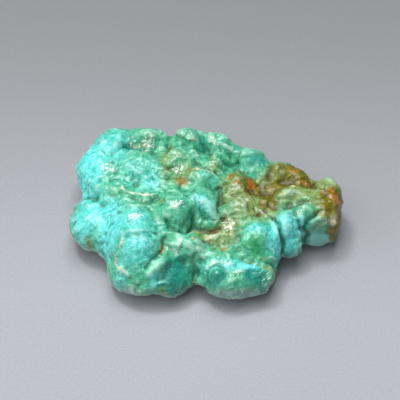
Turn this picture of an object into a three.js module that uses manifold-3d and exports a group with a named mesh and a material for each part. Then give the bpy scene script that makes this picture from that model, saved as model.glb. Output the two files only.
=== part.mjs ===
// A raw turquoise nugget: one lobed, water-worn stone with a ground flat underside.
// Millimetres, +Z up. The origin is under the middle of the stone, on the surface that it rests on.
import * as THREE from "three";
import { mergeVertices } from "three/addons/utils/BufferGeometryUtils.js";
import { ImprovedNoise } from "three/addons/math/ImprovedNoise.js";
import Module from "manifold-3d";

// Driving dimensions: the stone's own size, and how finely it is faceted.
const LENGTH = 50; // along X
const DEPTH = 36; // along Y
const HEIGHT = 13; // along Z
const FACE_ROWS = 20; // the starting ball has 20 * (FACE_ROWS + 1)^2 faces
const BLEND = 0.5; // how widely two lobes run into each other
const WAVE = 3.4; // spacing of the worn surface's slow unevenness
const WAVE_HEIGHT = 0.2;
const RELAX_ROUNDS = 60; // rounds of evening out the triangles over the stone
const SLIDE = 0.6; // how far a vertex goes towards its neighbours' middle in each round
const SOFTEN_ROUNDS = 1; // then rounds that only slide, which take the edge off the creases

// Every lobe is an egg: its middle, its three half-sizes, and its turn about Z in degrees.
const LOBES = [
  // The body under the lobes.
  { name: "left body", at: [-9.0, 0.0, 4.2], size: [13.0, 13.2, 5.6] },
  { name: "right body", at: [8.0, 1.0, 3.6], size: [13.0, 8.2, 5.0], turn: -12 },
  { name: "middle body", at: [0.0, -1.0, 3.6], size: [12.0, 11.6, 5.0] },
  // Left side, back to front.
  { name: "upper left shoulder", at: [-19.6, 8.4, 5.4], size: [4.4, 5.0, 4.8], turn: 20 },
  { name: "left back shoulder", at: [-17.0, 12.4, 5.8], size: [4.2, 4.2, 4.6], turn: 30 },
  { name: "back knob 1", at: [-14.4, 13.4, 6.4], size: [2.8, 2.8, 4.0] },
  { name: "back knob 2", at: [-10.0, 13.4, 6.2], size: [2.7, 3.0, 4.4] },
  { name: "shell lobe", at: [-12.2, 6.2, 8.4], size: [4.8, 3.8, 3.5], turn: 8 },
  { name: "left swell", at: [-18.4, 4.0, 6.4], size: [4.4, 3.0, 3.6], turn: -20 },
  { name: "left lobe", at: [-20.4, -1.9, 4.2], size: [4.5, 5.1, 4.0], turn: -10 },
  { name: "left fold", at: [-15.2, 0.6, 7.6], size: [5.8, 2.0, 3.2], turn: -14 },
  { name: "front left dome", at: [-12.4, -7.0, 4.8], size: [5.4, 7.6, 6.3], turn: 12 },
  { name: "front left rim", at: [-12.5, -10.7, 3.4], size: [5.3, 5.2, 3.7], turn: 10 },
  { name: "finger", at: [-8.5, -13.4, 4.4], size: [3.3, 1.6, 2.8], turn: 40 },
  { name: "front valley floor", at: [-6.6, -11.6, 3.2], size: [4.3, 4.8, 3.3] },
  // Middle.
  { name: "back knob 3", at: [-2.9, 13.2, 6.2], size: [2.6, 3.0, 4.4] },
  { name: "back knob 4", at: [2.9, 12.0, 5.6], size: [3.1, 3.1, 4.4] },
  { name: "centre dome", at: [-5.2, -3.2, 9.0], size: [3.2, 3.1, 3.2] },
  { name: "hook ridge", at: [0.2, -1.2, 8.8], size: [1.6, 3.8, 2.9], turn: 32 },
  { name: "cyan block", at: [-0.8, 4.2, 8.0], size: [3.2, 2.0, 3.4], turn: -8 },
  { name: "middle swell", at: [-4.6, 8.0, 7.4], size: [3.8, 3.2, 3.6] },
  { name: "middle crag", at: [1.6, 7.8, 7.0], size: [2.6, 2.2, 3.4], turn: 30 },
  { name: "lumpy bank", at: [-3.4, -9.0, 6.5], size: [3.2, 2.5, 3.2] },
  { name: "olive hill", at: [5.6, 3.2, 7.4], size: [2.4, 2.8, 3.2], turn: 15 },
  { name: "olive slope", at: [6.2, -2.2, 6.6], size: [3.6, 3.0, 3.3] },
  // Right side.
  { name: "back knob 5", at: [8.8, 9.2, 5.2], size: [2.8, 2.8, 3.9] },
  { name: "brown crest", at: [15.0, 6.0, 4.8], size: [5.2, 3.0, 4.2], turn: -24 },
  { name: "ring nodule", at: [10.0, 5.8, 7.2], size: [1.8, 1.6, 2.0] },
  { name: "green saddle", at: [16.2, 1.8, 5.8], size: [3.1, 2.3, 3.0] },
  { name: "end cap", at: [21.2, -0.5, 4.7], size: [3.7, 6.4, 5.0], turn: -9 },
  { name: "blue knuckle 1", at: [17.6, -2.8, 5.7], size: [2.3, 2.2, 3.1] },
  { name: "blue knuckle 2", at: [14.2, -4.2, 5.2], size: [2.5, 3.5, 4.2], turn: 8 },
  { name: "blue knuckle 3", at: [15.5, -6.1, 3.8], size: [1.9, 2.2, 2.9], turn: -10 },
  { name: "right front dome", at: [9.2, -6.8, 5.0], size: [3.8, 4.8, 4.6] },
  { name: "front centre lobe", at: [4.6, -11.5, 3.5], size: [5.9, 5.2, 3.7], turn: 4 },
  { name: "front right lobe", at: [8.9, -10.8, 3.5], size: [3.8, 5.0, 3.7], turn: 12 },
  { name: "front centre knob", at: [1.6, -11.4, 4.6], size: [2.6, 3.0, 3.2] },
];

// Every hollow is an egg taken out of the lobes, written the same way.
const HOLLOWS = [
  { name: "back groove", at: [-11.8, 10.2, 10.8], size: [4.0, 1.3, 2.0], turn: -4 },
  { name: "shell step", at: [-12.4, 2.6, 11.0], size: [4.6, 1.1, 1.8], turn: -6 },
  { name: "brown crevice", at: [0.2, -6.4, 10.0], size: [3.2, 1.4, 2.6], turn: -8 },
  { name: "olive crease", at: [2.6, 2.4, 11.0], size: [1.1, 3.4, 2.4], turn: 6 },
  { name: "rust hollow", at: [11.6, 1.8, 9.4], size: [2.6, 1.8, 2.2], turn: -30 },
  { name: "front valley", at: [-5.4, -13.0, 9.0], size: [1.6, 4.2, 3.0], turn: -8 },
];

// The flat break on the stone's right end, facing forwards: the middle of the piece that came away.
const BREAK_AT = [22.2, -8.4, 4.0];
const BREAK_SIZE = [10.0, 8.0, 14.0];
const BREAK_TURN = 3; // degrees about Z

const wasm = await Module();
wasm.setup();
const noise = new ImprovedNoise();

// The distance from (x, y, z) to a lobe's skin, negative inside it.
function lobeDistance(x, y, z, { at, size, turn = 0 }) {
  const angle = THREE.MathUtils.degToRad(turn);
  const [dx, dy, dz] = [x - at[0], y - at[1], z - at[2]];
  const along = dx * Math.cos(angle) + dy * Math.sin(angle);
  const across = dy * Math.cos(angle) - dx * Math.sin(angle);
  const reach = Math.hypot(along / size[0], across / size[1], dz / size[2]);
  const slope = Math.hypot(along / size[0] ** 2, across / size[1] ** 2, dz / size[2] ** 2);
  return (reach * (reach - 1)) / Math.max(slope, 1e-6);
}

// Two distances joined with a rounded valley between them.
function blend(a, b) {
  const near = Math.max(BLEND - Math.abs(a - b), 0) / BLEND;
  return Math.min(a, b) - (near * near * BLEND) / 4;
}

// The distance to the whole stone's skin: the lobes run together, the hollows taken out of
// them with softened edges, and a slow unevenness over it all.
function stoneDistance(x, y, z) {
  let skin = 1e3;
  for (const lobe of LOBES) skin = blend(skin, lobeDistance(x, y, z, lobe));
  for (const hollow of HOLLOWS) skin = -blend(-skin, lobeDistance(x, y, z, hollow));
  return skin + WAVE_HEIGHT * noise.noise(x / WAVE, y / WAVE, z / WAVE);
}

// Moves a point onto the skin along the distance's own slope.
function settle(point, rounds) {
  const step = 0.05;
  for (let i = 0; i < rounds; i++) {
    const { x, y, z } = point;
    const here = stoneDistance(x, y, z);
    const slope = new THREE.Vector3(
      stoneDistance(x + step, y, z) - here,
      stoneDistance(x, y + step, z) - here,
      stoneDistance(x, y, z + step) - here,
    ).divideScalar(step);
    point.addScaledVector(slope, -here / Math.max(slope.lengthSq(), 0.25));
  }
}

// A ball drawn in from outside until it meets the skin.
function wrappedBall() {
  const ball = new THREE.IcosahedronGeometry(1, FACE_ROWS);
  ball.deleteAttribute("normal");
  ball.deleteAttribute("uv");
  const skin = mergeVertices(ball, 1e-4);
  const places = skin.getAttribute("position");
  const outer = new THREE.Vector3(LENGTH, DEPTH, HEIGHT).multiplyScalar(0.75);
  const spine = new THREE.Vector3(LENGTH / 6, DEPTH / 6, 0);
  const point = new THREE.Vector3();
  for (let i = 0; i < places.count; i++) {
    point.fromBufferAttribute(places, i);
    const target = point.clone().multiply(spine).add(new THREE.Vector3(0, 0, HEIGHT * 0.4));
    point.multiply(outer).add(new THREE.Vector3(0, 0, HEIGHT * 0.4));
    const inwards = target.clone().sub(point).normalize();
    for (let n = 0; n < 60; n++) {
      point.addScaledVector(inwards, 0.6 * stoneDistance(point.x, point.y, point.z));
    }
    places.setXYZ(i, point.x, point.y, point.z);
  }
  return skin;
}

// Slides every vertex towards the middle of its neighbours and back onto the skin. In the last
// rounds it stays where it has slid to, which rounds the creases a little.
function evenOut(skin) {
  const places = skin.getAttribute("position");
  const neighbours = Array.from({ length: places.count }, () => new Set());
  const corners = skin.index.array;
  for (let i = 0; i < corners.length; i += 3) {
    for (let k = 0; k < 3; k++) {
      neighbours[corners[i + k]].add(corners[i + ((k + 1) % 3)]);
      neighbours[corners[i + k]].add(corners[i + ((k + 2) % 3)]);
    }
  }
  for (let round = 0; round < RELAX_ROUNDS + SOFTEN_ROUNDS; round++) {
    const moved = neighbours.map((around, i) => {
      const middle = new THREE.Vector3();
      for (const n of around) middle.add(new THREE.Vector3().fromBufferAttribute(places, n));
      const point = new THREE.Vector3().fromBufferAttribute(places, i);
      point.lerp(middle.divideScalar(around.size), SLIDE);
      if (round < RELAX_ROUNDS) settle(point, 1);
      return point;
    });
    moved.forEach((point, i) => places.setXYZ(i, point.x, point.y, point.z));
  }
}

function solidOf(geometry) {
  const bare = geometry.clone();
  bare.deleteAttribute("normal");
  bare.deleteAttribute("uv");
  const merged = mergeVertices(bare, 1e-4);
  return new wasm.Manifold(
    new wasm.Mesh({
      numProp: 3,
      vertProperties: merged.getAttribute("position").array,
      triVerts: new Uint32Array(merged.index.array),
    }),
  );
}

function geometryOf(solid) {
  const { vertProperties, triVerts } = solid.getMesh();
  const geometry = new THREE.BufferGeometry();
  geometry.setAttribute("position", new THREE.BufferAttribute(vertProperties, 3));
  geometry.setIndex(new THREE.BufferAttribute(triVerts, 1));
  return geometry;
}

// What the lapidary's wheel took off: everything below the flat that the stone rests on.
function groundAway() {
  const block = new THREE.BoxGeometry(2 * LENGTH, 2 * DEPTH, HEIGHT);
  block.translate(0, 0, -HEIGHT / 2);
  return solidOf(block);
}

// What broke off the right end.
function brokenOff() {
  const block = new THREE.BoxGeometry(...BREAK_SIZE);
  block.rotateZ(THREE.MathUtils.degToRad(BREAK_TURN));
  block.translate(...BREAK_AT);
  return solidOf(block);
}

// Brings the stone to its own size, standing on its flat with the origin under its middle.
function fitted(geometry) {
  geometry.computeBoundingBox();
  const box = geometry.boundingBox;
  const size = box.getSize(new THREE.Vector3());
  const middle = box.getCenter(new THREE.Vector3());
  geometry.translate(-middle.x, -middle.y, -box.min.z);
  geometry.scale(LENGTH / size.x, DEPTH / size.y, HEIGHT / size.z);
  return geometry;
}

const skin = wrappedBall();
evenOut(skin);
const whole = solidOf(skin).subtract(groundAway());
const stone = fitted(geometryOf(whole.subtract(brokenOff())));
stone.computeVertexNormals();

const turquoise = new THREE.MeshStandardMaterial({ color: 0x4fb3a2, roughness: 0.35, metalness: 0 });
const nugget = new THREE.Mesh(stone, turquoise);
nugget.name = "nugget";

const group = new THREE.Group();
group.add(nugget);
export default group;
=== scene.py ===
# %% [markdown]
# # A raw turquoise nugget
#
# Turquoise grows as crusts and lumps in the cracks of weathered rock. This nugget is one lobed
# stone about 50 mm long: blue-green at its wide end, and stained olive and rust brown by iron at
# its narrow end, where a little of the host rock still clings. It was tumbled until it took a
# waxy shine, so each wrinkle of its skin carries its own small glint.
#
# The frame holds the stone's overall form as one CAD node. This lesson turns that form into the
# finished stone in five steps: a fine even skin, sculpted folds and seams, masks that say where
# each mineral and each patch of painted light is, one material that reads the masks, and a plain
# studio around it.

# %% Frame and measures
import math

import bmesh
import bpy
import numpy as np
from mathutils import Matrix, Vector, noise


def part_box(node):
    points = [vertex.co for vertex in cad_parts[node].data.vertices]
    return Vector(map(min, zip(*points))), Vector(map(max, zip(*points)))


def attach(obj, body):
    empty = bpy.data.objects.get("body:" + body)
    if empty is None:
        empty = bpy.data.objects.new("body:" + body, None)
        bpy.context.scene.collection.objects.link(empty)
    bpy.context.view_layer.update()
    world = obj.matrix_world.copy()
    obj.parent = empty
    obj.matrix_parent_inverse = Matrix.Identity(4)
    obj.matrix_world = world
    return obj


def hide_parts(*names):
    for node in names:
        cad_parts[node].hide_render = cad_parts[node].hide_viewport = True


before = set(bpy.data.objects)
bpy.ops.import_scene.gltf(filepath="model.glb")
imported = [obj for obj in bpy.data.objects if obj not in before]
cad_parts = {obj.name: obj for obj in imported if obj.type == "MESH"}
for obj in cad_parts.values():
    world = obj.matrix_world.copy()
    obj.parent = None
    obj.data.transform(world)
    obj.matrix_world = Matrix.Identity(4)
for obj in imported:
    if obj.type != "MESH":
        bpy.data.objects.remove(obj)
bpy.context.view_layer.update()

MM = 0.001
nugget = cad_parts["nugget"]
print("the CAD stone, in mm:", [round(side / MM, 2) for side in nugget.dimensions])

# %% [markdown]
# ## The view
#
# The stone is seen from the front and from well above, by a long lens from a third of a metre
# away. A short lens close by would swell the near lobes. The camera's turn comes from the
# direction it looks along, so that it can't disagree with where it stands.

# %% Camera
LOOKING_DOWN = math.radians(50)
CAMERA_DISTANCE = 330 * MM
VIEW_WIDTH = 73.8 * MM
NEAREST_SEEN = 10 * MM
AIM = Vector((-1.2, 4.4, 3.7)) * MM


def placed(name, data):
    """A new object in the scene, made of a mesh, a lamp or a lens."""
    made = bpy.data.objects.new(name, data)
    bpy.context.scene.collection.objects.link(made)
    return made


towards_camera = Vector((0, -math.cos(LOOKING_DOWN), math.sin(LOOKING_DOWN)))
lens = bpy.data.cameras.new("camera")
lens.lens = lens.sensor_width * CAMERA_DISTANCE / VIEW_WIDTH
lens.clip_start = NEAREST_SEEN
camera = placed("camera", lens)
camera.location = AIM + towards_camera * CAMERA_DISTANCE
camera.rotation_euler = (-towards_camera).to_track_quat("-Z", "Y").to_euler()
bpy.context.scene.camera = camera
print("the lens, in mm:", round(lens.lens, 1))

# %% [markdown]
# ## A fine, even skin
#
# The real stone is one closed skin, with hardly an edge. The CAD form has facets about 1 mm wide,
# which can't hold a fold that is half a millimetre wide. Subdividing it over and over would give
# small squares, but stretched ones. So a subdivision surface only rounds the facets off, and a
# voxel remesh then lays an even net of small squares over the form. The CAD node's own mesh must
# stay as it is, so all this happens to a copy, whose doubled corners are merged first.

# %% Fine skin
SAME_CORNER = 0.001 * MM
ROUNDING = 2
SKIN_CELL = 0.225 * MM


def meshed(shape, name):
    """The mesh that a bmesh has been building."""
    mesh = bpy.data.meshes.new(name)
    shape.to_mesh(mesh)
    shape.free()
    return mesh


def finished_mesh(made, name):
    """The mesh that an object's modifiers lead to, as a mesh of its own."""
    depsgraph = bpy.context.evaluated_depsgraph_get()
    mesh = bpy.data.meshes.new_from_object(made.evaluated_get(depsgraph))
    mesh.name = name
    return mesh


shell = bmesh.new()
shell.from_mesh(nugget.data)
bmesh.ops.remove_doubles(shell, verts=shell.verts, dist=SAME_CORNER)
form = meshed(shell, "form")
stone = placed("turquoise_nugget", form)
rounded = stone.modifiers.new("rounded", "SUBSURF")
rounded.levels = rounded.render_levels = ROUNDING
even = stone.modifiers.new("even", "REMESH")
even.mode = "VOXEL"
even.voxel_size = SKIN_CELL
skin = finished_mesh(stone, "turquoise_nugget")
stone.modifiers.clear()
stone.data = skin
bpy.data.meshes.remove(form)
print("the skin has", len(skin.vertices), "corners and", len(skin.polygons), "squares")

# %% [markdown]
# ## Tools for sculpting
#
# A sculptor pushes the clay in and out along its own surface. That could be done by hand, or with
# Displace modifiers, but a written stroke gives the same stone each time. Every stroke here is
# one number per corner of the skin, in millimetres, and the corner moves that far along the
# outward normal. Whole arrays keep nearly 100,000 corners quick. All positions are in
# millimetres, and most strokes have only an x and a y, because they lie on the upper side.

# %% Reading and writing the skin
def per_corner(mesh, what):
    """Three numbers per corner: "co" is its place in metres, and "normal" where it faces."""
    flat = np.empty(len(mesh.vertices) * 3, np.float32)
    mesh.vertices.foreach_get(what, flat)
    return flat.reshape(-1, 3).astype(float)


def corners_of(mesh):
    return per_corner(mesh, "co") / MM


def normals_of(mesh):
    return per_corner(mesh, "normal")


def move_corners(mesh, places):
    mesh.vertices.foreach_set("co", (places * MM).astype(np.float32).ravel())
    mesh.update()


print("the first corner, in mm:", corners_of(skin)[0].round(2))

# %% [markdown]
# The voxel net leaves faint steps. A Smooth modifier would take them away, but normals and masks
# need the same evening later, so it is written once, on arrays.

# %% Evening the skin
STEPS_GONE = 4

edges = np.empty(len(skin.edges) * 2, np.int32)
skin.edges.foreach_get("vertices", edges)
edge_a, edge_b = edges.reshape(-1, 2).T
edge_count = np.bincount(np.concatenate([edge_a, edge_b]), minlength=len(skin.vertices))


def evened(values, rounds):
    """Values per corner, each drawn halfway to the mean of its neighbours in every round."""
    values = values.astype(float)
    if values.ndim == 2:
        return np.stack([evened(column, rounds) for column in values.T], axis=1)
    for _ in range(rounds):
        total = np.bincount(edge_a, values[edge_b], len(values))
        total += np.bincount(edge_b, values[edge_a], len(values))
        values = 0.5 * values + 0.5 * total / edge_count
    return values


move_corners(skin, evened(corners_of(skin), STEPS_GONE))
heights = corners_of(skin)[:, 2]
print("the skin goes from", heights.min().round(2), "to", heights.max().round(2), "mm high")

# %% [markdown]
# A stroke's edge is a smooth step or a bell. `bell` is 1 on the stroke's middle line and fades to
# nothing at about twice its width. `egg` and `line` say how far each corner is from a spot or
# from a path. `off_the_flat` keeps the ground underside flat, and `facing_up` keeps a stroke that
# is placed in plan from printing through onto the underside.

# %% Stroke shapes
FLAT_EDGE = 0.1
FACING_DOWN = -0.7


def smooth_step(values, low, high):
    t = np.clip((values - low) / (high - low), 0, 1)
    return t * t * (3 - 2 * t)


def bell(reach):
    return np.exp(-(reach**2))


def egg(places, at, size, turn=0.0):
    """How far each place is from an egg's middle, as a share of the egg's own half-sizes."""
    offset = places[:, : len(at)] - np.array(at)
    angle = math.radians(turn)
    along = offset[:, 0] * math.cos(angle) + offset[:, 1] * math.sin(angle)
    across = offset[:, 1] * math.cos(angle) - offset[:, 0] * math.sin(angle)
    reach = (along / size[0]) ** 2 + (across / size[1]) ** 2
    if len(at) == 3:
        reach += (offset[:, 2] / size[2]) ** 2
    return np.sqrt(reach)


def line(places, path, width):
    """How far each place is in plan from a broken line, as a share of the line's half-width."""
    nearest = np.full(len(places), np.inf)
    flat = places[:, :2]
    for start, end in zip(path, path[1:]):
        start, step = np.array(start), np.array(end) - np.array(start)
        share = np.clip((flat - start) @ step / (step @ step), 0, 1)
        gap = np.linalg.norm(flat - start - share[:, None] * step, axis=1)
        nearest = np.minimum(nearest, gap)
    return nearest / width


def off_the_flat(places, height):
    """0 on the ground underside, rising to 1 at a height above it."""
    return smooth_step(places[:, 2], FLAT_EDGE, height)


def facing_up(normals, full):
    """0 where the skin faces well down, rising to 1 at an upward share of the normal."""
    return smooth_step(normals[:, 2], FACING_DOWN, full)


print("a bell at 0, 1 and 2 widths:", bell(np.arange(3.0)).round(2))

# %% [markdown]
# Natural unevenness comes from noise, which never repeats and needs no file. `waves` rolls
# gently, `grains` packs rounded lumps together with sharp seams between them, as grape-like
# turquoise grows, and `wrinkles` makes branching ridges. Each is worked out per corner, at a size
# in millimetres, and `shift` picks a different part of the endless pattern.

# %% Natural patterns
GRAIN_SHARPNESS = 3.0
AXIS_SHIFT = 17.3


def sampled(places, size, shift, pattern):
    spots = places / np.asarray(size) + shift
    return np.array([pattern(Vector(spot)) for spot in spots])


def waves(places, size, shift=0.0):
    return sampled(places, size, shift, noise.noise)


def grains(places, size, shift=0.0):
    """0 in the seams between grains, rising to 1 over each grain's middle."""
    gaps = sampled(places, size, shift, lambda spot: noise.voronoi(spot)[0][:2])
    return 1 - np.exp(-GRAIN_SHARPNESS * (gaps[:, 1] - gaps[:, 0]))


def wrinkles(places, size, shift=0.0):
    """Branching ridges, made of three layers, each about twice as fine as the one before."""
    smoothness, finer, layers, ridge, gain = 1.0, 2.1, 3, 1.0, 2.0
    return sampled(
        places,
        size,
        shift,
        lambda spot: noise.ridged_multi_fractal(spot, smoothness, finer, layers, ridge, gain),
    )


def stirred(places, size, strength, shift=0.0):
    """The places pushed about by slow waves, so that a pattern read there bends and flows."""
    push = [waves(places, size, shift + AXIS_SHIFT * axis) for axis in range(3)]
    return places + strength * np.stack(push, axis=1)


print("waves at three corners:", waves(corners_of(skin)[:3], 3.0).round(2))

# %% [markdown]
# ## Lumps and wrinkles all over
#
# The skin is lumpy everywhere, but not evenly so. The big domes are worn smooth, while the
# middle, the back and the stained end are crowded with small knots and pits. One even pattern
# would look like hammered metal. So `calm` says how smooth each region is, and the flat break at
# the right end is left alone altogether. Each row is a middle, half-sizes, a turn and a calm.

# %% Calm regions
CALM = [
    ((-20.6, -3.0), (3.6, 4.6), -10, 0.6),
    ((-13.4, -8.0), (4.2, 4.4), -20, 0.65),
    ((-12.6, -12.6), (3.4, 2.6), 0, 0.8),
    ((9.4, -8.0), (3.0, 3.2), 0, 0.75),
    ((14.2, -6.8), (1.8, 3.4), 8, 0.8),
    ((1.6, -15.8), (2.0, 1.6), 0, 0.95),
    ((5.0, -15.4), (5.0, 2.4), 0, 0.5),
    ((-21.4, 8.0), (2.4, 3.6), 20, 0.6),
    ((-9.0, -14.1), (2.4, 1.4), 42, 0.7),
    ((-5.4, -4.6), (3.2, 2.6), 0, 0.5),
    ((-12.2, 5.6), (3.6, 3.0), 8, 0.4),
    ((0.0, -3.2), (2.8, 1.6), -45, 0.7),
    ((-5.4, -15.0), (2.4, 2.4), 0, 0.7),
    ((-18.2, -0.6), (4.4, 2.4), -10, 0.6),
    ((19.8, -4.5, 3.2), (2.9, 1.3, 3.6), 0, 1.0),
]

places = corners_of(skin)
calm = np.zeros(len(places))
for at, size, turn, amount in CALM:
    calm = np.maximum(calm, amount * bell(egg(places, at, size, turn) ** 2))
lively = 1 - calm
print("the skin is", round(100 * float(lively.mean())), "% lively on average")

# %% [markdown]
# Six patterns lie over each other, from swells as wide as a lobe down to crinkles under a
# millimetre, because worn stone shows relief at every size. A bump in the material could give
# some of them, but the outline would stay smooth. Each is stirred first, so that it flows.

# %% Lumps and wrinkles
BARE_BELOW = 0.12

flowing = stirred(places, size=3.0, strength=1.2, shift=5.5)
bent = stirred(places, size=1.4, strength=0.5, shift=66.0)
ruffled = stirred(places, size=0.9, strength=0.3, shift=71.0)
packed = stirred(places, size=1.9, strength=0.8, shift=8.2)
# Each row is a pattern, its height in mm, the value that leaves the skin where it is, and the
# share of it that calm regions keep.
RELIEF = [
    (waves(flowing, size=(3.6, 3.0, 3.2), shift=12.0), 0.50, 0.0, 0.4),
    (waves(flowing, size=(1.7, 1.4, 1.6), shift=44.0), 0.24, 0.0, 0.15),
    (wrinkles(flowing, size=(3.8, 2.0, 2.6), shift=2.0), 0.20, 1.0, 0.2),
    (wrinkles(bent, size=(1.7, 1.1, 1.4), shift=52.0), 0.20, 1.0, 0.2),
    (wrinkles(ruffled, size=0.85, shift=57.0), 0.08, 1.0, 0.2),
    (grains(packed, size=(2.7, 2.1, 2.4), shift=4.0), 0.14, 0.6, 0.1),
]
push = np.zeros(len(places))
for pattern, height, level, kept in RELIEF:
    push += height * (pattern - level) * (kept + (1 - kept) * lively)
push *= off_the_flat(places, 1.0) * smooth_step(lively, 0.0, BARE_BELOW)
move_corners(skin, places + push[:, None] * evened(normals_of(skin), rounds=4))
print("lumps and wrinkles go from", push.min().round(2), "to", push.max().round(2), "mm")

# %% [markdown]
# ## Folds, seams and knobs
#
# The eye knows this stone by a few marks: the curved pale lip under the shell-shaped lobe, the
# finger between the front-left dome and the dark valley, the hooked ridge in the middle, the
# seams around the centre dome. Noise can't be told to make those, so they are drawn one by one,
# and last, so that no lump breaks them up. A ridge is a path, its half-width and its height.

# %% Ridges
RIDGES = [
    ("shell lip", [(-15.3, 1.6), (-14.9, 0.3), (-13.5, -0.4), (-11.0, -0.4), (-9.0, 0.1)],
     0.28, 0.5),
    ("left fold 1", [(-22.4, 0.2), (-20.0, 1.8), (-17.6, 1.4), (-16.0, 0.4)], 0.7, 0.3),
    ("left fold 2", [(-21.6, -1.0), (-19.0, -0.2), (-16.4, -1.6), (-13.4, -2.0)], 0.7, 0.35),
    ("left fold 3", [(-17.8, -3.6), (-15.6, -3.0), (-12.6, -3.4), (-10.0, -3.0)], 0.5, 0.4),
    ("bead arc", [(-14.8, -10.6), (-15.6, -11.6), (-16.1, -12.8), (-15.4, -14.2), (-13.8, -15.3)],
     0.35, 0.35),
    ("finger", [(-10.3, -15.3), (-8.7, -14.1), (-7.2, -13.2)], 0.9, 0.65),
    ("hook", [(-1.9, -1.8), (-0.4, -2.9), (1.0, -4.2), (1.8, -5.4)], 0.8, 1.0),
    ("hook foot", [(-2.4, -3.4), (-1.4, -4.4), (-1.0, -5.4)], 0.6, 0.4),
    ("bank fold", [(-5.6, -9.6), (-3.8, -10.8), (-1.8, -10.6), (0.4, -11.4)], 0.8, 0.5),
    ("centre shelf", [(-0.2, -13.6), (2.4, -13.2), (4.6, -13.6), (7.0, -14.2)], 0.9, 0.15),
    ("saddle ridge", [(13.2, 1.2), (15.0, 1.9), (16.8, 1.4), (18.2, 0.4)], 0.8, 0.35),
    ("end rib", [(20.6, 4.4), (22.2, 4.0), (23.6, 2.6)], 0.7, 0.3),
    ("knob 3 rib", [(-4.6, 14.4), (-3.2, 12.8), (-2.4, 10.8)], 0.7, 0.35),
    ("knob 3 fold", [(-5.2, 13.0), (-4.2, 11.8), (-2.6, 11.4)], 0.35, 0.35),
    ("knob 3 top fold", [(-4.8, 14.4), (-3.4, 13.2), (-1.8, 12.8)], 0.3, 0.4),
    ("knob 4 rib", [(1.0, 13.3), (3.4, 12.2), (5.6, 10.8)], 0.45, 0.45),
    ("knob 4 low rib", [(1.8, 10.8), (3.6, 10.0), (5.4, 9.6)], 0.35, 0.3),
    ("back ledge", [(-0.8, 4.9), (0.8, 5.0), (2.2, 4.4)], 0.35, 0.4),
    ("ochre ledge", [(-6.2, 3.6), (-4.6, 3.3), (-2.8, 3.5)], 0.35, 0.3),
    ("slope streak", [(9.0, -2.0), (10.0, -2.8), (10.8, -3.7)], 0.3, 0.35),
    ("slope fold 1", [(3.4, 0.8), (4.8, -0.6), (5.4, -2.2)], 0.5, 0.3),
    ("slope fold 2", [(5.8, -0.6), (6.8, -1.8), (7.0, -3.2)], 0.4, 0.3),
    ("end fold", [(21.0, 1.6), (22.4, 0.4), (23.4, -1.6)], 0.5, 0.25),
    ("olive rib", [(3.4, -3.4), (4.8, -5.6), (5.0, -8.2)], 0.7, 0.35),
    ("shell rib", [(-14.8, 6.6), (-12.6, 4.6), (-10.4, 3.0)], 0.8, 0.3),
]
print(len(RIDGES), "ridges")

# %% [markdown]
# A seam is where two lobes grew against each other. It is a path, its half-width and its depth.

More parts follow.
